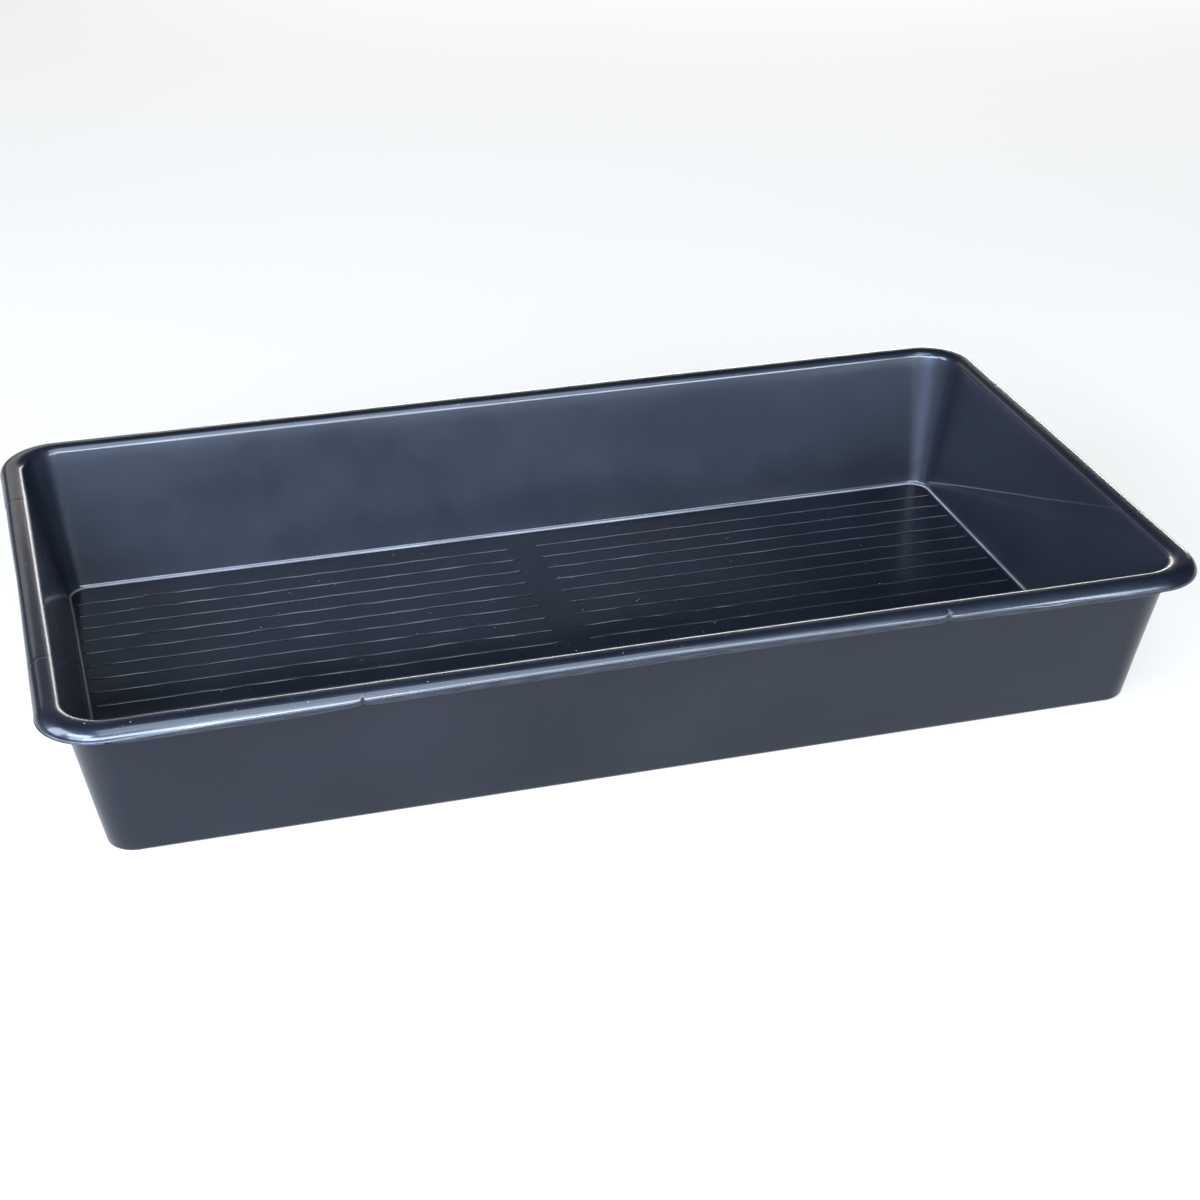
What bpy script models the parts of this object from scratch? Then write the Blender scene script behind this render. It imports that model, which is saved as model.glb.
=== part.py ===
"""Flat-bottomed paint tray: one plastic moulding with sloping walls and a down-turned rim.

The tray stands on its base. +X runs along its length, +Y across it and +Z up. The origin is
at the middle of the underside. All sizes are in metres.
"""
import math

import bmesh
import bpy

# Driving dimensions.
LENGTH = 1.000            # over the rim
WIDTH = 0.564             # over the rim
HEIGHT = 0.144            # underside to the top of the rim
WALL = 0.0035             # thickness of the floor, the walls and the rim
DRAFT = 0.20              # how far a wall leans out for each metre of its height
RIM_WIDTH = 0.0207        # outer face of the rim to the inner wall's plane, at rim height
SKIRT_DEPTH = 0.0125      # top of the rim to the lower edge of its skirt
SKIRT_LEAN = 0.0006       # how far the skirt leans in at its lower edge

# Rounded edges, seen in the wall's cross-section.
SHOULDER_RADIUS = 0.0070
RIM_INNER_RADIUS = 0.0080
ROOT_RADIUS = 0.0030
FLOOR_RADIUS = 0.0045
BASE_RADIUS = 0.0050

# Corners, seen from above. A wall's corner is a cone that tightens towards the base.
RIM_CORNER_OUTER = 0.050
RIM_CORNER_INNER = 0.0385
WALL_CORNER_TOP = 0.042
WALL_CORNER_BASE = 0.022
CORNER_STEPS = 8

# Ribs on the floor, in two fields with a plain strip between them.
RIB_ROWS = 17
RIB_PITCH = 0.025
RIB_HEIGHT = 0.0012
RIB_BASE_WIDTH = 0.0024
RIB_TOP_WIDTH = 0.0014
RIB_START = 0.0145
RIB_END = 0.4450
RIB_SINK = 0.0010         # how deep a rib starts inside the floor

# Small notches in the skirt's lower edge, two on each side.
NOTCH_WIDTH = 0.0030
NOTCH_HEIGHT = 0.0036
NOTCH_OVERCUT = 0.0030    # how far a cutter passes the skirt's faces
NOTCH_ON_LONG_SIDE = LENGTH / 4
NOTCH_ON_SHORT_SIDE = 0.156

# Blue-black polyethylene.
PLASTIC_COLOUR = (0.020, 0.024, 0.034, 1.0)
PLASTIC_ROUGHNESS = 0.42

LEAN_ANGLE = math.atan(DRAFT)
SLANT = 1.0 / math.cos(LEAN_ANGLE)


def clear_scene():
    """Remove every object that the scene holds."""
    for item in list(bpy.data.objects):
        bpy.data.objects.remove(item, do_unlink=True)


def arc(centre, radius, start, end, steps):
    """Points of a round stretch of the cross-section, with the angles in degrees."""
    points = []
    for step in range(steps + 1):
        angle = math.radians(start + (end - start) * step / steps)
        points.append((centre[0] + radius * math.cos(angle), centre[1] + radius * math.sin(angle)))
    return points


def inner_wall(height):
    """Inset of the inner wall's plane at a height."""
    return RIM_WIDTH + (HEIGHT - height) * DRAFT


def outer_wall(height):
    """Inset of the outer wall's plane at a height."""
    return inner_wall(height) - WALL * SLANT


def rim_corner(inset):
    """Corner radius of a line that runs round the rim."""
    share = inset / RIM_WIDTH
    return RIM_CORNER_OUTER + (RIM_CORNER_INNER - RIM_CORNER_OUTER) * share


def wall_corner(height, thickness):
    """Corner radius of a line that runs round a wall, a thickness in from the outer face."""
    share = height / HEIGHT
    return WALL_CORNER_BASE + (WALL_CORNER_TOP - WALL_CORNER_BASE) * share - thickness


def floor_fillet():
    """Inner edge between the floor and the wall, from the floor up."""
    height = WALL + FLOOR_RADIUS
    centre = (inner_wall(height) + FLOOR_RADIUS * SLANT, height)
    points = arc(centre, FLOOR_RADIUS, 270, 180 + math.degrees(LEAN_ANGLE), 4)
    return [(inset, z, wall_corner(z, WALL)) for inset, z in points]


def rim_outside():
    """Rim's upper face, from the inner wall over the top and down the skirt."""
    height = HEIGHT - RIM_INNER_RADIUS
    centre = (inner_wall(height) - RIM_INNER_RADIUS * SLANT, height)
    points = arc(centre, RIM_INNER_RADIUS, math.degrees(LEAN_ANGLE), 90, 5)
    points += arc((SHOULDER_RADIUS, HEIGHT - SHOULDER_RADIUS), SHOULDER_RADIUS, 90, 180, 6)
    return [(inset, z, rim_corner(inset)) for inset, z in points]


def rim_underside():
    """Skirt's rounded lower edge, its inner face and the rim's underside, back to the wall."""
    edge_radius = WALL / 2
    edge_centre = (SKIRT_LEAN + edge_radius, HEIGHT - SKIRT_DEPTH + edge_radius)
    points = arc(edge_centre, edge_radius, 180, 360, 4)
    bend = SHOULDER_RADIUS - WALL
    points += arc((SHOULDER_RADIUS, HEIGHT - SHOULDER_RADIUS), bend, 180, 90, 3)
    height = HEIGHT - WALL - ROOT_RADIUS
    root_centre = (outer_wall(height) - ROOT_RADIUS * SLANT, height)
    points += arc(root_centre, ROOT_RADIUS, 90, math.degrees(LEAN_ANGLE), 3)
    return [(inset, z, rim_corner(inset)) for inset, z in points]


def base_edge():
    """Rounded outer edge between the wall and the underside, from the wall down."""
    centre = (outer_wall(BASE_RADIUS) + BASE_RADIUS * SLANT, BASE_RADIUS)
    points = arc(centre, BASE_RADIUS, 180 + math.degrees(LEAN_ANGLE), 270, 4)
    return [(inset, z, wall_corner(z, 0.0)) for inset, z in points]


def outline(inset, height, radius):
    """Points of a rounded rectangle, inset from the rim's outer face, anticlockwise."""
    points = []
    for quarter, (side_x, side_y) in enumerate(((1, 1), (-1, 1), (-1, -1), (1, -1))):
        centre_x = side_x * (LENGTH / 2 - inset - radius)
        centre_y = side_y * (WIDTH / 2 - inset - radius)
        for step in range(CORNER_STEPS + 1):
            angle = math.radians(90 * (quarter + step / CORNER_STEPS))
            x = centre_x + radius * math.cos(angle)
            y = centre_y + radius * math.sin(angle)
            points.append((x, y, height))
    return points


def finish_mesh(mesh, name, material=None):
    """Turn a bmesh into a named object with its faces pointing out."""
    bmesh.ops.recalc_face_normals(mesh, faces=mesh.faces)
    data = bpy.data.meshes.new(name)
    mesh.to_mesh(data)
    mesh.free()
    item = bpy.data.objects.new(name, data)
    if material:
        data.materials.append(material)
    bpy.context.collection.objects.link(item)
    return item


def plastic():
    """Blue-black plastic of the tray."""
    material = bpy.data.materials.new("tray_plastic")
    material.use_nodes = True
    shader = material.node_tree.nodes["Principled BSDF"]
    shader.inputs["Base Color"].default_value = PLASTIC_COLOUR
    shader.inputs["Roughness"].default_value = PLASTIC_ROUGHNESS
    shader.inputs["Metallic"].default_value = 0.0
    return material


def make_shell():
    """Tray's shell: the cross-section swept round the rounded rectangle."""
    stations = floor_fillet() + rim_outside() + rim_underside() + base_edge()
    mesh = bmesh.new()
    rings = []
    for inset, height, radius in stations:
        rings.append([mesh.verts.new(point) for point in outline(inset, height, radius)])
    for lower, upper in zip(rings, rings[1:]):
        count = len(lower)
        for index in range(count):
            following = (index + 1) % count
            mesh.faces.new((lower[index], lower[following], upper[following], upper[index]))
    mesh.faces.new(rings[0])
    mesh.faces.new(reversed(rings[-1]))
    return finish_mesh(mesh, "tray", plastic())


def add_bar(mesh, lower, upper):
    """Add a closed four-sided bar between two rectangles given as (x0, x1, y0, y1, z)."""
    rings = []
    for x0, x1, y0, y1, z in (lower, upper):
        corners = ((x0, y0), (x1, y0), (x1, y1), (x0, y1))
        rings.append([mesh.verts.new((x, y, z)) for x, y in corners])
    for index in range(4):
        following = (index + 1) % 4
        mesh.faces.new((rings[0][index], rings[0][following], rings[1][following], rings[1][index]))
    mesh.faces.new(reversed(rings[0]))
    mesh.faces.new(rings[1])


def make_ribs():
    """Low ribs that stand up from the floor, as one guide object."""
    mesh = bmesh.new()
    taper = (RIB_BASE_WIDTH - RIB_TOP_WIDTH) / 2
    for row in range(RIB_ROWS):
        y = (row - (RIB_ROWS - 1) / 2) * RIB_PITCH
        for side in (-1, 1):
            x0, x1 = sorted((side * RIB_START, side * RIB_END))
            half = RIB_BASE_WIDTH / 2
            lower = (x0, x1, y - half, y + half, WALL - RIB_SINK)
            upper = (x0 + taper, x1 - taper, y - half + taper, y + half - taper, WALL + RIB_HEIGHT)
            add_bar(mesh, lower, upper)
    return finish_mesh(mesh, "rib_guide")


def make_notches():
    """Wedge-shaped cutters for the notches in the skirt's lower edge, as one guide object."""
    mesh = bmesh.new()
    top = HEIGHT - SKIRT_DEPTH + NOTCH_HEIGHT
    bottom = HEIGHT - SKIRT_DEPTH - NOTCH_OVERCUT
    half = NOTCH_WIDTH / 2
    tip = half / 6
    for side in (-1, 1):
        for end in (-1, 1):
            x = end * NOTCH_ON_LONG_SIDE
            y0, y1 = sorted((side * (WIDTH / 2 + NOTCH_OVERCUT), side * (WIDTH / 2 - WALL - NOTCH_OVERCUT)))
            add_bar(mesh, (x - half, x + half, y0, y1, bottom), (x - tip, x + tip, y0, y1, top))
            y = end * NOTCH_ON_SHORT_SIDE
            x0, x1 = sorted((side * (LENGTH / 2 + NOTCH_OVERCUT), side * (LENGTH / 2 - WALL - NOTCH_OVERCUT)))
            add_bar(mesh, (x0, x1, y - half, y + half, bottom), (x0, x1, y - tip, y + tip, top))
    return finish_mesh(mesh, "notch_guide")


def combine(target, guide, operation):
    """Join a guide to the target, or cut it out, and keep the guide out of sight."""
    step = target.modifiers.new(guide.name, "BOOLEAN")
    step.operation = operation
    step.object = guide
    step.solver = "EXACT"
    guide.hide_render = True
    guide.display_type = "WIRE"


def main():
    """Build the tray."""
    clear_scene()
    tray = make_shell()
    tray.data.shade_smooth()
    tray.data.set_sharp_from_angle(angle=math.radians(40))
    combine(tray, make_ribs(), "UNION")
    combine(tray, make_notches(), "DIFFERENCE")


main()
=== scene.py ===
"""Looks of the flat-bottomed paint tray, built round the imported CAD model.

One fine mesh stands for the CAD node "tray". It is swept round the same rounded rectangle with the
CAD's cross-section, apart from a wider bend and a sawn edge at the rim, and it has the small
faults of a formed and trimmed plastic sheet.
All sizes are in metres. X runs along the tray, Y across it and Z up.
"""
import math

import bmesh
import bpy
import numpy as np
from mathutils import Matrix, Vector


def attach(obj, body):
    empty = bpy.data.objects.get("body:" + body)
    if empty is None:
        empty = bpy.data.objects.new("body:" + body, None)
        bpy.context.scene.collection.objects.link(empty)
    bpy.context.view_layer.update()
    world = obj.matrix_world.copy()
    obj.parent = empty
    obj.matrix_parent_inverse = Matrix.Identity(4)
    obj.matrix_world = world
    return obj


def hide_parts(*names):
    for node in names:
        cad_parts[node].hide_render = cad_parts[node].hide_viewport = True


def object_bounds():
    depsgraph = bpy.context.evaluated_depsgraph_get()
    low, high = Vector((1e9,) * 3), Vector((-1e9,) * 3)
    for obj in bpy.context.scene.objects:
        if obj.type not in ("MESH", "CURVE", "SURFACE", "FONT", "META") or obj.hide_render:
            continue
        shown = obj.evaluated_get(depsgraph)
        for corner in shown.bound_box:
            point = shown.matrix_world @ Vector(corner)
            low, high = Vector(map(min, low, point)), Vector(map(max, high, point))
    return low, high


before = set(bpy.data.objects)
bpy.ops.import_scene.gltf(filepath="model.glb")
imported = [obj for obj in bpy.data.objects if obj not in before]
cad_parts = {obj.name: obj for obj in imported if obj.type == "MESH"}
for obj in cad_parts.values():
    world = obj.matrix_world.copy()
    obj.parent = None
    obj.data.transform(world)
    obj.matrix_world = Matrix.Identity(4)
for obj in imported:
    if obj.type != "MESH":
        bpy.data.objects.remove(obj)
CAD_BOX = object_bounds()

MM = 0.001

# ---------------------------------------------------------------- the CAD design's dimensions
LENGTH, WIDTH, HEIGHT = CAD_BOX[1] - CAD_BOX[0]
WALL = 3.5 * MM
DRAFT = 0.20
SLANT = math.hypot(1.0, DRAFT)
LEAN = math.degrees(math.atan(DRAFT))
RIM_WIDTH = 20.7 * MM
RIM_CORNER_OUTER = 50.0 * MM
RIM_CORNER_INNER = 38.5 * MM
WALL_CORNER_TOP = 42.0 * MM
WALL_CORNER_BASE = 22.0 * MM
FLOOR_RADIUS = 4.5 * MM
BASE_RADIUS = 5.0 * MM
ROOT_RADIUS = 3.0 * MM
RIM_INNER_RADIUS = 8.0 * MM

# ---------------------------------------------------------------- the trimmed edge of the rim
SHOULDER_RADIUS = 12.0 * MM     # the sheet bends over the mould with this radius
SHOULDER_INSET = 11.85 * MM     # centre of that bend, in from the rim's outer face
TRIM_BOW = 2.7 * MM             # how far the saw cut runs inwards in the middle of a long side
TRIM_BOW_POWER = 1.15           # how the bow dies away towards the corners
TRIM_SHORT_SIDE = 0.6           # share of the bow on a short side
RIM_BOW = 1.0 * MM              # how far the rim's inner edge runs inwards on a long side
TRIM_STEP = 0.22 * MM           # change of the cut at a mark
TRIM_STEP_RISE = 4 * MM         # it comes in over about this distance from a mark
TRIM_STEP_FADE = 60 * MM        # and dies away over about this one
RAMP_DEPTH = 0.5 * MM           # the cut drifts inwards by this much as it comes to a mark
RAMP_LENGTH = 13 * MM
SKIRT_DROP = 12.0 * MM          # top of the rim to the cut's lower edge
SKIRT_SAG = 1.6 * MM            # extra drop between the marks and the corners
SKIRT_SAG_START = 5 * MM        # it comes in between these two distances past a mark
SKIRT_SAG_END = 60 * MM
SKIRT_SAG_GONE = (0.97, 1.0)    # and goes between these shares of half a side
CORNER_LIFT = 0.9 * MM          # how much shorter the skirt is round the corners
CORNER_LIFT_SHARES = (0.96, 1.0)    # it comes in between these shares of half a side
MARK_LIFT = 1.2 * MM            # how much shorter the skirt is at a mark
MARK_LIFT_REACH = 7 * MM
NICK_DEPTH = 1.9 * MM
NICK_HALF_WIDTH = 2.0 * MM
GROOVE_DEPTH = 0.38 * MM
GROOVE_HALF_WIDTH = 2.6 * MM
MARK_LONG = LENGTH / 4          # marks on the long sides, from the middle
MARK_SHORT = 156.0 * MM         # marks on the short sides, from the middle
# The outline's own places round a mark, in mm from it.
MARK_STOPS = (-14, -10, -7, -5, -3.6, -2.6, -1.9, -1.2, -0.6, 0, 0.6, 1.2, 1.9, 2.6, 3.6, 5, 7, 10)
MARK_REACH = 12 * MM            # the even spacing of places stops this close to a mark
CREASE_START = 5.0              # the plain bend ends this many degrees before the cut's upper edge
CREASE_BAND = (3.4, 1.0)        # the band's first two lines, where a highlight is painted pale, in the same degrees
CREASE_HOLLOW = ((0.35, 0.12), (0.75, 0.45), (0.10, 0.85), (-0.05, 1.1))    # inwards and down, mm
CUT_FACE_DROP = 0.5 * MM        # the sawn face is taken to start this far below the cut's upper edge
CUT_FOOT = ((0.15, 0.6), (0.40, 0.10), (0.9, 0.0))      # inwards and up from the cut's foot, mm
LIP_INSET, LIP_RISE = 2.6 * MM, 0.25 * MM       # where the skirt's inner face starts
INNER_BEND_START = 158.0        # where the bend's inner face starts above it, in degrees

# ---------------------------------------------------------------- the sheet's waviness
# The wall is held at the floor, comes free between two heights and stiffens again towards the rim.
FREE_HEIGHTS = (12 * MM, 50 * MM)
STIFF_HEIGHT = 110 * MM
STIFFNESS = 0.55
WAVE_DEPTH, WAVE_LENGTH = 0.30 * MM, 220.0 * MM
RIM_WAVE_DEPTH, RIM_WAVE_LENGTH = 0.045 * MM, 50.0 * MM
FLOOR_WAVE_DEPTH, FLOOR_WAVE_LENGTH = 0.22 * MM, 170.0 * MM
FLOOR_WAVE_START = 40 * MM      # the waves of the floor are full this far in from its edge

# ---------------------------------------------------------------- the floor's ribs
RIB_ROWS = 17
RIB_PITCH = 25.0 * MM
RIB_HEIGHT = 0.80 * MM
RIB_START = 14.5 * MM
RIB_END = 445.0 * MM
RIB_END_FADE = 1.6 * MM
RIB_STOPS = (-2.4, -1.15, -0.85, -0.45, 0.0, 0.45, 0.85, 1.15, 2.4)     # across a rib, in mm
RIB_SHAPE = (0.0, 0.0, 0.42, 0.90, 1.0, 0.90, 0.42, 0.0, 0.0)           # share of its height there
RIB_MEAN, RIB_UNEVEN = 0.90, 0.20       # a rib's height along its run, as shares of RIB_HEIGHT
RIB_UNEVEN_LENGTH = 70.0 * MM
RIB_UNEVEN_LIMITS = (0.55, 1.2)
RIB_WIGGLE, RIB_WIGGLE_LENGTH = 0.32 * MM, 45.0 * MM
RIB_JITTER, RIB_JITTER_LENGTH = 0.12 * MM, 16.0 * MM
RIB_CREST = 0.8                 # the crest is where the shape is above this share
RIB_END_STOPS = (-2.4, -1.5, -0.8, 0.0, 0.8, 1.5, 2.4)      # along a rib's end, in mm
RIB_END_REACH = 3.4 * MM        # the even spacing of lines stops this close to a rib's end
FLOOR_MARGIN = 3.0 * MM         # the gridded part of the floor reaches this far past the ribs

# ---------------------------------------------------------------- how strongly highlights are painted pale onto the plastic
RIB_HIGHLIGHT = 0.20                 # on the crests of the farthest ribs
RIB_HIGHLIGHT_Y = (0.0, 0.18)        # it rises to that between these places across the tray
RIB_HIGHLIGHT_NEAR = 0.15            # from this share of it
RIB_HIGHLIGHT_X = (-0.43, -0.33)     # and between these places along a rib
RIB_HIGHLIGHT_LEFT = 0.25            # from this share of it
CREASE_HIGHLIGHT = 0.32              # on the rim's crease, at the left
CREASE_HIGHLIGHT_LOSS = 0.17         # how much less it is at the right
CREASE_HIGHLIGHT_X = (-0.2, 0.35)    # the loss comes in between these places
FILLET_HIGHLIGHT_LEFT = 0.06         # on the floor's fillet, at its left end
FILLET_HIGHLIGHT_X = (-0.47, -0.42)  # it rises to the full painted highlight between these places

# ---------------------------------------------------------------- how fine the mesh is
LONG_SPACING = 9.0 * MM
SHORT_SPACING = 8.0 * MM
FLOOR_SPACING = 5.5 * MM
CORNER_STEPS = 18


def ripple(points, wavelength, seed, terms=9):
    """Smooth noise of about unit size at each point, the same on every run."""
    chance = np.random.default_rng(seed)
    total = np.zeros(points.shape[:-1])
    for _ in range(terms):
        direction = chance.normal(size=points.shape[-1])
        direction /= np.linalg.norm(direction)
        rate = 2 * math.pi / wavelength * chance.uniform(0.55, 1.5)
        total += np.sin(points @ direction * rate + chance.uniform(0, 2 * math.pi))
    return total / math.sqrt(terms)


def ease(value, start, end):
    """Smooth step from 0 at start to 1 at end."""
    share = np.clip((value - start) / (end - start), 0, 1)
    return share * share * (3 - 2 * share)


# ---------------------------------------------------------------- round the outline
def side_stops(half_length, mark, spacing):
    """Distances along one side from its middle, close together round its two marks."""
    even = np.linspace(-half_length, half_length, 2 * round(half_length / spacing) + 1)[1:-1]
    marks = np.array([-mark, mark])
    near = np.abs(even[:, None] - marks).min(axis=1) < MARK_REACH
    close = (marks[:, None] + np.array(MARK_STOPS) * MM).ravel()
    return np.sort(np.concatenate([even[~near], close]))


NEAR_SIDE = 3                       # the outline's fourth side faces the camera
FAR_AWAY = 1.0                      # a corner counts as this far from every mark and middle


class Outline:
    """Places round the tray, anticlockwise: four sides, each followed by its corner."""

    def __init__(self):
        columns = []
        for turn in range(4):
            along_x = turn % 2 == 1
            outward = np.round([math.cos(turn * math.pi / 2), math.sin(turn * math.pi / 2)])
            onward = np.array([-outward[1], outward[0]])
            half = (LENGTH if along_x else WIDTH) / 2 - RIM_CORNER_OUTER
            mark = MARK_LONG if along_x else MARK_SHORT
            spacing = LONG_SPACING if along_x else SHORT_SPACING
            for stop in side_stops(half, mark, spacing):
                centre = outward + onward * stop / half
                nearest = stop - math.copysign(mark, stop)
                # The cut drifts in before a mark on the near side, and after it on the others.
                if turn != NEAR_SIDE:
                    nearest = -nearest
                columns.append((*centre, turn * 90.0, abs(stop) / half, nearest, along_x, abs(stop)))
            for step in range(CORNER_STEPS + 1):
                angle = 90.0 * (turn + step / CORNER_STEPS)
                columns.append((*(outward + onward), angle, 1.0, FAR_AWAY, False, FAR_AWAY))
        table = np.array(columns, float)
        self.centre = table[:, 0:2]
        self.angle = np.radians(table[:, 2])
        self.share = table[:, 3]        # 0 in the middle of a side, 1 at its ends and round corners
        self.from_mark = table[:, 4]    # signed distance from the nearest mark
        self.long_side = table[:, 5] > 0.5
        self.from_middle = table[:, 6]
        self.count = len(columns)

    def places(self, inset, height, radius):
        """Points of stations by places, from each station's inset, height and corner radius."""
        outward = np.stack([np.cos(self.angle), np.sin(self.angle)], axis=-1)
        half = np.array([LENGTH / 2, WIDTH / 2])
        reach = half - inset[..., None] - radius[..., None]
        flat = self.centre * reach + outward * radius[..., None]
        return np.concatenate([flat, height[..., None]], axis=-1)


# ---------------------------------------------------------------- the cross-section
def inner_wall(height):
    """Inset of the inner wall's plane at a height."""
    return RIM_WIDTH + (HEIGHT - height) * DRAFT


def outer_wall(height):
    """Inset of the outer wall's plane at a height."""
    return inner_wall(height) - WALL * SLANT


class Section:
    """Stations of the cross-section, from the floor over the rim to the underside."""

    def __init__(self, count):
        self.count = count
        self.rows = []

    def add(self, inset, height, zone):
        """Add one station. Inset and height are numbers, or one number for each place."""
        self.rows.append((np.broadcast_to(inset, self.count), np.broadcast_to(height, self.count), zone))

    def arc(self, centre, radius, start, end, steps, zone):
        """Add a round stretch. Angles are degrees from the inward direction, through up."""
        for share in np.linspace(0, 1, steps + 1):
            angle = np.radians(start + (end - start) * share)
            self.add(centre[0] + radius * np.cos(angle), centre[1] + radius * np.sin(angle), zone)

    def line(self, start, end, steps, zone):
        """Add the stations between two points, without the points themselves."""
        for share in np.linspace(0, 1, steps + 2)[1:-1]:
            inset = start[0] + (end[0] - start[0]) * share
            self.add(inset, start[1] + (end[1] - start[1]) * share, zone)

    def last(self):
        """The last station's inset and height."""
        return self.rows[-1][:2]


def trim(outline):
    """The saw cut at each place: its upper edge's inset and angle round the bend, and its foot's drop."""
    size = np.where(outline.long_side, 1.0, TRIM_SHORT_SIDE)
    mark = np.where(outline.long_side, MARK_LONG, MARK_SHORT)
    away = np.abs(outline.from_mark)
    straight = outline.share < 1
    inset = TRIM_BOW * size * (1 - outline.share ** TRIM_BOW_POWER)
    inner = np.where(outline.from_middle < mark, 1.0, -1.0)
    fade = np.exp(-away / TRIM_STEP_FADE) * straight
    inset = inset + TRIM_STEP * inner * fade * (1 - np.exp(-away / TRIM_STEP_RISE))
    ramp = np.clip(1 + outline.from_mark / RAMP_LENGTH, 0, 1) * (outline.from_mark < 0)
    nick = np.clip(1 - away / NICK_HALF_WIDTH, 0, 1)
    inset = np.maximum(inset + RAMP_DEPTH * ramp ** 2 + NICK_DEPTH * nick, 0.0)
    reach = np.clip((SHOULDER_INSET - inset) / SHOULDER_RADIUS, -1, 1)
    angle = np.degrees(np.arcsin(reach))
    past = ease(outline.from_middle, mark + SKIRT_SAG_START, mark + SKIRT_SAG_END)
    past = past * (1 - ease(outline.share, *SKIRT_SAG_GONE))
    drop = SKIRT_DROP + SKIRT_SAG * past - CORNER_LIFT * ease(outline.share, *CORNER_LIFT_SHARES)
    drop = drop - MARK_LIFT * np.exp(-(outline.from_mark / MARK_LIFT_REACH) ** 2) * straight
    return inset, angle, drop


def make_section(outline):
    """All the stations of the cross-section, with the trimmed edge as it runs round the tray."""
    section = Section(outline.count)
    low = WALL + FLOOR_RADIUS
    centre = (inner_wall(low) + FLOOR_RADIUS * SLANT, low)
    section.arc(centre, FLOOR_RADIUS, 270, 180 + LEAN, 8, "fillet")
    high = HEIGHT - RIM_INNER_RADIUS
    centre = (inner_wall(high) - RIM_INNER_RADIUS * SLANT, high)
    lean = math.radians(LEAN)
    top = (centre[0] + RIM_INNER_RADIUS * math.cos(lean), high + RIM_INNER_RADIUS * math.sin(lean))
    section.line(section.last(), top, 10, "wall")
    section.arc(centre, RIM_INNER_RADIUS, LEAN, 90, 10, "rim")

    cut_inset, cut_angle, skirt_drop = trim(outline)
    bend = (SHOULDER_INSET, HEIGHT - SHOULDER_RADIUS)
    edge = 90 + cut_angle
    section.arc(bend, SHOULDER_RADIUS, 90, edge - CREASE_START, 12, "rim")
    section.arc(bend, SHOULDER_RADIUS, edge - CREASE_BAND[0], edge - CREASE_BAND[1], 1, "crease")
    crease = HEIGHT - SHOULDER_RADIUS * (1 - np.cos(np.radians(cut_angle)))
    section.add(cut_inset, crease, "crease")
    for inwards, down in CREASE_HOLLOW:
        section.add(cut_inset + inwards * MM, crease - down * MM, "rim")
    foot = HEIGHT - skirt_drop
    section.add(cut_inset, (crease - CUT_FACE_DROP + foot) / 2, "cut")
    for inwards, up in CUT_FOOT:
        section.add(cut_inset + inwards * MM, foot + up * MM, "cut")
    inner_bend = SHOULDER_RADIUS - WALL
    section.add(cut_inset + LIP_INSET, foot + LIP_RISE, "under")
    section.arc(bend, inner_bend, INNER_BEND_START, 90, 5, "under")
    high = HEIGHT - WALL - ROOT_RADIUS
    centre = (outer_wall(high) - ROOT_RADIUS * SLANT, high)
    section.arc(centre, ROOT_RADIUS, 90, LEAN, 4, "under")
    centre = (outer_wall(BASE_RADIUS) + BASE_RADIUS * SLANT, BASE_RADIUS)
    turn = math.radians(180 + LEAN)
    base = (centre[0] + BASE_RADIUS * math.cos(turn), BASE_RADIUS + BASE_RADIUS * math.sin(turn))
    section.line(section.last(), base, 9, "outside")
    section.arc(centre, BASE_RADIUS, 180 + LEAN, 270, 7, "outside")
    return section


UNSEEN = ("under", "outside")       # zones that the faults of the inner side don't reach


def corner_radius(inset, height, zone):
    """Corner radius of a line that runs round the tray at a station."""
    if zone in ("rim", "crease", "cut", "under"):
        return RIM_CORNER_OUTER + (RIM_CORNER_INNER - RIM_CORNER_OUTER) * inset / RIM_WIDTH
    radius = WALL_CORNER_BASE + (WALL_CORNER_TOP - WALL_CORNER_BASE) * height / HEIGHT
    return radius - (WALL if zone in ("wall", "fillet") else 0.0)


def sweep(outline):
    """Points of the swept sheet, stations by places, with its faults worked in."""
    section = make_section(outline)
    inset = np.array([row[0] for row in section.rows])
    height = np.array([row[1] for row in section.rows])
    zones = np.array([row[2] for row in section.rows])
    radius = np.array([corner_radius(*row) for row in section.rows])
    along_inset = np.gradient(inset, axis=0)
    along_height = np.gradient(height, axis=0)
    size = np.hypot(along_inset, along_height)
    normal_inset = along_height / size
    normal_height = -along_inset / size

    inner_side = ease(normal_inset, -0.3, 0.6) * ease(height, 0.06, 0.136) * ~np.isin(zones, UNSEEN)[:, None]
    inset = inset + RIM_BOW * inner_side * (1 - outline.share ** 3) * outline.long_side

    # A mark is a shallow groove, deepest on the shoulder and faint on the inner side.
    depth = np.clip(1 - np.abs(outline.from_mark) / GROOVE_HALF_WIDTH, 0, 1)
    top = np.isin(zones, ["rim", "crease"])[:, None] * np.ones(outline.count)
    strength = 0.30 + 0.70 * np.clip(-normal_inset, 0, 1) - 0.18 * np.clip(normal_inset, 0, 1)
    shift = -GROOVE_DEPTH * depth * top * strength

    points = outline.places(inset, height, radius)
    free = ease(height, *FREE_HEIGHTS) * (1 - STIFFNESS * ease(height, STIFF_HEIGHT, HEIGHT))
    shift += WAVE_DEPTH * free * ripple(points, WAVE_LENGTH, 11)
    shift += RIM_WAVE_DEPTH * ease(height, 0.10, 0.135) * ripple(points, RIM_WAVE_LENGTH, 12)
    points = outline.places(inset + shift * normal_inset, height + shift * normal_height, radius)
    return points, zones


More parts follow.
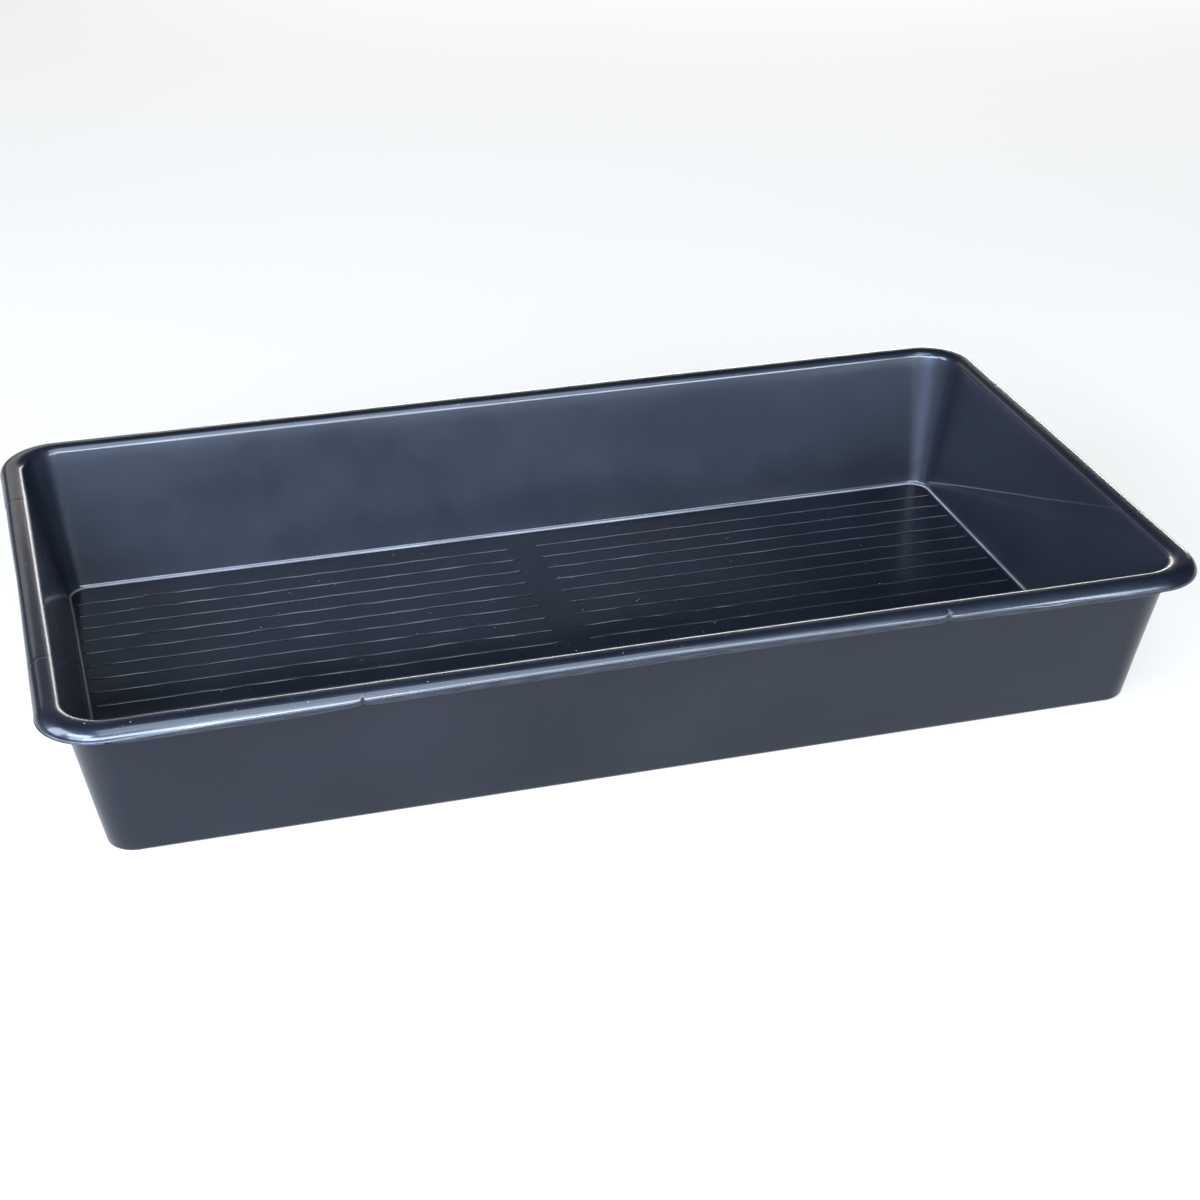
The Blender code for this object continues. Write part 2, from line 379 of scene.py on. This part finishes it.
def painted_highlight_lines(zones, points):
    """How strongly a highlight is painted pale at each place of the sheet: along the floor's fillet and the
    rim's crease.
    """
    x = points[..., 0]
    fillet = np.flatnonzero(zones == "fillet")
    place = np.arange(len(zones))
    # The fillet's painted highlight is strongest half a station below its middle.
    share = np.exp(-(place - fillet.mean() + 0.5) ** 2) * (zones == "fillet")
    # Painted highlight on the fillet, weak at its left end, where shade falls.
    painted_highlight = share[:, None] * (FILLET_HIGHLIGHT_LEFT + (1 - FILLET_HIGHLIGHT_LEFT) * ease(x, *FILLET_HIGHLIGHT_X))
    crease = np.flatnonzero(zones == "crease")
    # Painted highlight along the rim's crease, weaker towards the right, where less light falls.
    painted_highlight[crease] = CREASE_HIGHLIGHT - CREASE_HIGHLIGHT_LOSS * ease(x[crease], *CREASE_HIGHLIGHT_X)
    return painted_highlight


# ---------------------------------------------------------------- the floor
def floor_lines():
    """X positions of the floor grid's lines, close together where the ribs end."""
    limit = RIB_END + FLOOR_MARGIN
    even = np.linspace(-limit, limit, 2 * round(limit / FLOOR_SPACING) + 1)
    ends = np.array([-RIB_END, -RIB_START, RIB_START, RIB_END])
    near = np.abs(even[:, None] - ends).min(axis=1) < RIB_END_REACH
    near[[0, -1]] = False
    close = (ends[:, None] + np.array(RIB_END_STOPS) * MM).ravel()
    return np.sort(np.concatenate([even[~near], close]))


def floor_points():
    """Points of the ribbed part of the floor, rows by columns, and how strongly a highlight is painted on
    each of them.
    """
    x = floor_lines()
    fade = ease(np.abs(x), RIB_START - RIB_END_FADE, RIB_START + RIB_END_FADE)
    fade *= 1 - ease(np.abs(x), RIB_END - RIB_END_FADE, RIB_END + RIB_END_FADE)
    rows = []
    for row in range(RIB_ROWS + 1):
        middle = (row - RIB_ROWS / 2) * RIB_PITCH
        rows.append(np.stack([x, np.full_like(x, middle), np.full_like(x, WALL)], axis=-1))
        if row == RIB_ROWS:
            break
        rib = middle + RIB_PITCH / 2
        wiggle = RIB_WIGGLE * ripple(x[:, None], RIB_WIGGLE_LENGTH, 100 + row, terms=7)
        wiggle += RIB_JITTER * ripple(x[:, None], RIB_JITTER_LENGTH, 300 + row)
        uneven = RIB_UNEVEN * ripple(x[:, None], RIB_UNEVEN_LENGTH, 200 + row)
        tall = RIB_HEIGHT * np.clip(RIB_MEAN + uneven, *RIB_UNEVEN_LIMITS)
        for stop, share in zip(RIB_STOPS, RIB_SHAPE):
            y = rib + stop * MM + wiggle
            rows.append(np.stack([x, y, WALL + tall * share * fade], axis=-1))
    points = np.array(rows)
    edge = np.minimum(RIB_ROWS / 2 * RIB_PITCH - np.abs(points[..., 1]), RIB_END - np.abs(points[..., 0]))
    loose = ease(edge, 0.0, FLOOR_WAVE_START)
    points[..., 2] += FLOOR_WAVE_DEPTH * loose * ripple(points[..., :2], FLOOR_WAVE_LENGTH, 31)
    # A highlight is painted pale on the crests: strongest at the far side, weaker at the near side and at
    # the shaded left end.
    crest = np.array(([0.0] + [float(share > RIB_CREST) for share in RIB_SHAPE]) * RIB_ROWS + [0.0])
    across = RIB_HIGHLIGHT_NEAR + (1 - RIB_HIGHLIGHT_NEAR) * ease(points[..., 1], *RIB_HIGHLIGHT_Y)
    along = RIB_HIGHLIGHT_LEFT + (1 - RIB_HIGHLIGHT_LEFT) * ease(x, *RIB_HIGHLIGHT_X)
    # painted highlight on the rib crests
    painted_highlight = RIB_HIGHLIGHT * crest[:, None] * fade * across * along
    return points, painted_highlight


# ---------------------------------------------------------------- the mesh
def grid_faces(rows, columns, first, closed):
    """Quads between neighbouring rows of a grid of vertices."""
    faces = []
    for row in range(rows - 1):
        for column in range(columns if closed else columns - 1):
            following = (column + 1) % columns
            a = first + row * columns
            b = a + columns
            faces.append((a + column, a + following, b + following, b + column))
    return faces


def make_tray():
    """The tray's whole sheet as one closed mesh."""
    outline = Outline()
    sheet, zones = sweep(outline)
    floor, floor_highlight = floor_points()
    stations = sheet.shape[0]
    vertices = np.concatenate([sheet.reshape(-1, 3), floor.reshape(-1, 3)])
    faces = grid_faces(stations, outline.count, 0, closed=True)
    faces += grid_faces(floor.shape[0], floor.shape[1], stations * outline.count, closed=False)
    last = (stations - 1) * outline.count
    faces.append(tuple(range(last, last + outline.count)))
    mesh = bpy.data.meshes.new("tray_moulding")
    mesh.from_pydata(vertices.tolist(), [], faces)
    cut = np.repeat((zones == "cut")[:, None], outline.count, axis=1)
    uncut = np.zeros_like(floor_highlight)
    # the painted highlight share and the sawn edge are stored on the mesh for the material
    for name, share, inside in (("painted_highlight", painted_highlight_lines(zones, sheet), floor_highlight), ("cut", cut, uncut)):
        values = np.concatenate([share.ravel(), inside.ravel()]).astype(np.float32)
        mesh.attributes.new(name, "FLOAT", "POINT").data.foreach_set("value", values)
    work = bmesh.new()
    work.from_mesh(mesh)
    rim_of_gap = [edge for edge in work.edges if edge.is_boundary]
    bmesh.ops.triangle_fill(work, edges=rim_of_gap, use_beauty=True, normal=(0, 0, 1))
    bmesh.ops.recalc_face_normals(work, faces=work.faces)
    work.to_mesh(mesh)
    work.free()
    mesh.shade_smooth()
    item = bpy.data.objects.new("tray_moulding", mesh)
    bpy.context.scene.collection.objects.link(item)
    return item


# ---------------------------------------------------------------- materials
class Nodes:
    """Short forms for building a material's node tree."""

    def __init__(self, name):
        self.material = bpy.data.materials.new(name)
        self.material.use_nodes = True
        self.tree = self.material.node_tree
        self.shader = self.tree.nodes["Principled BSDF"]

    def add(self, kind, inputs=None, **settings):
        """Add a node, with its settings and its inputs: numbers, colours or other sockets."""
        node = self.tree.nodes.new("ShaderNode" + kind)
        for key, value in settings.items():
            setattr(node, key, value)
        for key, value in (inputs or {}).items():
            if isinstance(value, bpy.types.NodeSocket):
                self.tree.links.new(value, node.inputs[key])
            else:
                node.inputs[key].default_value = value
        return node

    def noise(self, place, scale, detail=3.0, roughness=0.55):
        """A noise texture's value."""
        inputs = {"Vector": place, "Scale": scale, "Detail": detail, "Roughness": roughness}
        return self.add("TexNoise", inputs).outputs["Fac"]

    def spread(self, value, low, high, to_low=0.0, to_high=1.0):
        """Map a value from one range to another, held at its ends."""
        inputs = {"Value": value, "From Min": low, "From Max": high, "To Min": to_low, "To Max": to_high}
        return self.add("MapRange", inputs).outputs["Result"]

    def math(self, operation, first, second):
        """Arithmetic on two values."""
        return self.add("Math", {0: first, 1: second}, operation=operation).outputs[0]

    def stretch(self, place, scale):
        """A place scaled by a different amount along each axis."""
        return self.add("Mapping", {"Vector": place, "Scale": scale}).outputs["Vector"]

    def blend(self, share, first, second):
        """Mix two colours."""
        node = self.add("Mix", data_type="RGBA")
        for index, value in ((0, share), (6, first), (7, second)):
            if isinstance(value, bpy.types.NodeSocket):
                self.tree.links.new(value, node.inputs[index])
            else:
                node.inputs[index].default_value = value
        return node.outputs[2]


PLASTIC_DARK = (0.0018, 0.0024, 0.0040, 1.0)
PLASTIC_PALE = (0.0034, 0.0042, 0.0062, 1.0)
DUST = (0.30, 0.32, 0.36, 1.0)
# pale colour painted on as highlights along the fillet, crease and rib crests, and as a reflection line on
# the right inner wall
HIGHLIGHT_PAINT = (0.19, 0.19, 0.19, 1.0)
SAWN = (0.015, 0.016, 0.018, 1.0)
SMOOTHEST, ROUGHEST = 0.31, 0.42
PLASTIC_IOR = 1.28
SPECULAR_TINT = (0.82, 0.91, 1.0, 1.0)
COAT = {"Coat Weight": 0.45, "Coat Roughness": 0.13, "Coat IOR": 1.45}
FLOOR_DARK = (0.095, 0.095, 0.095, 1.0)
FLOOR_PALE = (0.105, 0.105, 0.105, 1.0)
FLOOR_GLOW = (0.98, 0.98, 0.95, 1.0)
FLOOR_GLOW_STRENGTH = 0.72
REFLECTION_SLOPE = 0.366           # how steeply the painted reflection line on the right inner wall runs up
REFLECTION_LEVEL = 91.7 * MM       # its height in the middle of the wall
REFLECTION_WOBBLE = 3.0 * MM
REFLECTION_CORE, REFLECTION_EDGE = 0.3 * MM, 1.1 * MM
REFLECTION_STRENGTH = 0.16
REFLECTION_INNER_X = 452.5 * MM    # nothing nearer the middle than this gets the painted reflection
REFLECTION_SKIN = 1.5 * MM         # nor anything further than this behind the inner wall's face


def painted_wall_reflection(nodes, place):
    """Painted reflection of the far floor fillet's bright line: a thin pale line that runs slantwise up the
    right inner wall.
    """
    axes = nodes.add("SeparateXYZ", {0: place}).outputs
    run = nodes.math("ADD", axes["Z"], nodes.math("MULTIPLY", axes["Y"], REFLECTION_SLOPE))
    wobble = nodes.math("MULTIPLY", nodes.noise(place, 9.0, 2.0), REFLECTION_WOBBLE)
    away = nodes.math("SUBTRACT", nodes.math("ADD", run, wobble), REFLECTION_LEVEL)
    away = nodes.math("ABSOLUTE", away, 0.0)
    # painted reflection line, fading towards the top of the wall
    line = nodes.spread(away, REFLECTION_CORE, REFLECTION_EDGE, REFLECTION_STRENGTH, 0.0)
    faint = nodes.spread(axes["Z"], 0.030, 0.125, 1.0, 0.15)
    inside = nodes.math("GREATER_THAN", axes["X"], REFLECTION_INNER_X)
    upright = nodes.math("SUBTRACT", axes["X"], nodes.math("MULTIPLY", axes["Z"], DRAFT))
    skin = nodes.math("LESS_THAN", upright, LENGTH / 2 - inner_wall(0.0) + REFLECTION_SKIN)
    return nodes.math("MULTIPLY", nodes.math("MULTIPLY", line, faint), nodes.math("MULTIPLY", inside, skin))


def plastic_colour(nodes, place, dust, cut):
    """Base colour: cloudy plastic with specks of dust, painted pale highlight lines, a painted reflection
    line and the sawn edge.
    """
    cloud = nodes.noise(place, 7.0, 4.0)
    colour = nodes.blend(nodes.spread(cloud, 0.35, 0.7), PLASTIC_DARK, PLASTIC_PALE)
    colour = nodes.blend(dust, colour, DUST)
    # painted highlights from the mesh attribute, joined by the painted reflection line on the right inner
    # wall
    painted_highlight = nodes.add("Attribute", attribute_name="painted_highlight").outputs["Fac"]
    uneven = nodes.spread(nodes.noise(place, 5.0, 4.0, 0.65), 0.35, 0.6, 0.35, 1.0)
    painted_highlight = nodes.math("MULTIPLY", painted_highlight, uneven)
    painted_highlight = nodes.math("MAXIMUM", painted_highlight, painted_wall_reflection(nodes, place))
    colour = nodes.blend(painted_highlight, colour, HIGHLIGHT_PAINT)
    streak = nodes.spread(nodes.noise(nodes.stretch(place, (60.0, 60.0, 1100.0)), 1.0, 3.0), 0.35, 0.65)
    return nodes.blend(nodes.math("MULTIPLY", cut, streak), colour, SAWN)


def plastic_roughness(nodes, place, dust):
    """Roughness: smears, long fine scratches, dust and a fine mottle."""
    smear = nodes.noise(place, 16.0, 5.0, 0.6)
    roughness = nodes.spread(smear, 0.3, 0.75, SMOOTHEST, ROUGHEST)
    scratch_place = nodes.stretch(place, (6.0, 240.0, 240.0))
    scratch = nodes.spread(nodes.noise(scratch_place, 1.0, 2.0), 0.72, 0.78)
    roughness = nodes.math("ADD", roughness, nodes.math("MULTIPLY", scratch, 0.10))
    roughness = nodes.math("ADD", roughness, nodes.math("MULTIPLY", dust, 0.3))
    mottle = nodes.math("MULTIPLY", nodes.noise(place, 260.0, 1.0), 0.12)
    return nodes.math("SUBTRACT", nodes.math("ADD", roughness, mottle), 0.06)


def plastic_grain(nodes, place, cut):
    """Surface direction with a soft peel, a fine grain and the burr of the sawn edge."""
    peel = nodes.noise(place, 170.0, 2.0)
    soft = nodes.add("Bump", {"Strength": 0.5, "Distance": 0.10 * MM, "Height": peel})
    grain = nodes.noise(place, 900.0, 2.0)
    fine = nodes.add("Bump", {"Strength": 0.5, "Distance": 0.05 * MM, "Height": grain,
                              "Normal": soft.outputs["Normal"]})
    burr = nodes.noise(nodes.stretch(place, (700.0, 700.0, 1500.0)), 1.0, 3.0, 0.7)
    rough = nodes.add("Bump", {"Strength": cut, "Distance": 0.25 * MM, "Height": burr,
                               "Normal": fine.outputs["Normal"]})
    return rough.outputs["Normal"]


def make_plastic():
    """Blue-black formed plastic: fine grain, faint smears, thin scratches, a little dust, and painted pale
    highlight and reflection lines.
    """
    nodes = Nodes("tray_plastic")
    place = nodes.add("TexCoord").outputs["Object"]
    up = nodes.add("SeparateXYZ", {0: nodes.add("NewGeometry").outputs["Normal"]}).outputs["Z"]
    patchy = nodes.spread(nodes.noise(place, 11.0, 2.0), 0.45, 0.7)
    speck = nodes.spread(nodes.noise(place, 420.0, 1.0), 0.76, 0.80)
    dust = nodes.math("MULTIPLY", speck, nodes.spread(up, 0.5, 0.95))
    dust = nodes.math("MULTIPLY", dust, patchy)
    cut = nodes.add("Attribute", attribute_name="cut").outputs["Fac"]

    shader = nodes.shader
    nodes.tree.links.new(plastic_colour(nodes, place, dust, cut), shader.inputs["Base Color"])
    nodes.tree.links.new(plastic_roughness(nodes, place, dust), shader.inputs["Roughness"])
    nodes.tree.links.new(plastic_grain(nodes, place, cut), shader.inputs["Normal"])
    shader.inputs["IOR"].default_value = PLASTIC_IOR
    shader.inputs["Specular Tint"].default_value = SPECULAR_TINT
    for name, value in COAT.items():
        shader.inputs[name].default_value = value
    return nodes.material


def make_floor_paint():
    """Plain pale floor with a faint mottle, mostly lit from within so that it stays evenly pale."""
    nodes = Nodes("studio_floor")
    place = nodes.add("TexCoord").outputs["Object"]
    cloud = nodes.noise(place, 1.2, 3.0)
    colour = nodes.blend(cloud, FLOOR_DARK, FLOOR_PALE)
    nodes.tree.links.new(colour, nodes.shader.inputs["Base Color"])
    nodes.shader.inputs["Roughness"].default_value = 0.9
    nodes.shader.inputs["Specular IOR Level"].default_value = 0.1
    nodes.shader.inputs["Emission Color"].default_value = FLOOR_GLOW
    nodes.shader.inputs["Emission Strength"].default_value = FLOOR_GLOW_STRENGTH
    return nodes.material


# ---------------------------------------------------------------- studio
CAMERA_PLACE = Vector((-0.502, -1.836, 1.064))
CAMERA_AIM = Vector((0.0209, -0.0135, 0.050))
CAMERA_LENS = 69.4
FLOOR_REACH = 12.0
FLOOR_GAP = 0.2 * MM            # the floor lies this far under the tray
ROOM_COLOUR = (0.9, 0.95, 1.0, 1.0)
ROOM_STRENGTH = 0.02
WARM = (1.0, 0.94, 0.90)
CLOUD = (0.97, 0.98, 1.0)
SKYLIGHT = (0.73, 0.83, 1.0)
DEEP_SKY = (0.56, 0.69, 1.0)


def make_camera():
    """Camera at the photograph's viewing angle."""
    data = bpy.data.cameras.new("camera")
    data.lens = CAMERA_LENS
    data.sensor_width = 36.0
    item = bpy.data.objects.new("camera", data)
    item.location = CAMERA_PLACE
    item.rotation_euler = (CAMERA_AIM - CAMERA_PLACE).to_track_quat("-Z", "Y").to_euler()
    bpy.context.scene.collection.objects.link(item)
    bpy.context.scene.camera = item


def softbox(name, azimuth, elevation, distance, size, radiance, colour):
    """Area light that faces the tray. Azimuth 0 is in front of it and 90 to its right, in degrees."""
    data = bpy.data.lights.new(name, "AREA")
    data.shape = "RECTANGLE"
    data.size, data.size_y = size
    data.energy = radiance * math.pi * size[0] * size[1]
    data.color = colour
    item = bpy.data.objects.new(name, data)
    turn = math.radians(azimuth)
    rise = math.radians(elevation)
    away = Vector((math.sin(turn) * math.cos(rise), -math.cos(turn) * math.cos(rise), math.sin(rise)))
    item.location = away * distance
    item.rotation_euler = (-away).to_track_quat("-Z", "Y").to_euler()
    bpy.context.scene.collection.objects.link(item)


def make_floor():
    """Plain pale floor under the tray."""
    mesh = bpy.data.meshes.new("studio_floor")
    level = CAD_BOX[0].z - FLOOR_GAP
    turns = ((-1, -1), (1, -1), (1, 1), (-1, 1))
    mesh.from_pydata([(x * FLOOR_REACH, y * FLOOR_REACH, level) for x, y in turns], [], [(0, 1, 2, 3)])
    mesh.materials.append(make_floor_paint())
    floor = bpy.data.objects.new("studio_floor", mesh)
    bpy.context.scene.collection.objects.link(floor)


def make_lights():
    """Soft lights in a dim room: keys at the left, fills in front and above, low lights behind."""
    softbox("key_left", -50, 21, 3.0, (1.3, 0.85), 26.0, SKYLIGHT)
    softbox("key", -28, 20, 3.0, (1.1, 0.75), 67.0, DEEP_SKY)
    softbox("key_right", -9, 19, 3.0, (0.7, 0.7), 46.0, SKYLIGHT)
    softbox("key_high", -52, 35, 1.9, (1.0, 0.4), 60.0, DEEP_SKY)
    softbox("front", 4, 25, 3.0, (0.8, 1.4), 28.0, SKYLIGHT)
    softbox("front_low", 22, 18, 3.0, (1.1, 0.8), 44.0, SKYLIGHT)
    softbox("front_high", 6, 50, 3.0, (2.0, 1.0), 12.5, SKYLIGHT)
    softbox("top", 2, 70, 3.0, (1.7, 1.0), 11.0, SKYLIGHT)
    softbox("side", -88, 30, 3.0, (1.2, 1.9), 24.0, SKYLIGHT)
    softbox("back_left", -165, 20, 3.0, (2.0, 0.8), 1.4, WARM)
    softbox("back", 155, 4, 3.6, (3.6, 0.4), 11.0, WARM)
    softbox("back_high", 160, 11, 3.6, (2.2, 0.5), 6.0, CLOUD)

    world = bpy.data.worlds.new("room")
    world.use_nodes = True
    background = world.node_tree.nodes["Background"]
    background.inputs["Color"].default_value = ROOM_COLOUR
    background.inputs["Strength"].default_value = ROOM_STRENGTH
    bpy.context.scene.world = world
    bpy.context.scene.view_settings.view_transform = "Standard"


make_camera()
tray = make_tray()
tray.data.materials.append(make_plastic())
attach(tray, "root")
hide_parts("tray")
make_floor()
make_lights()
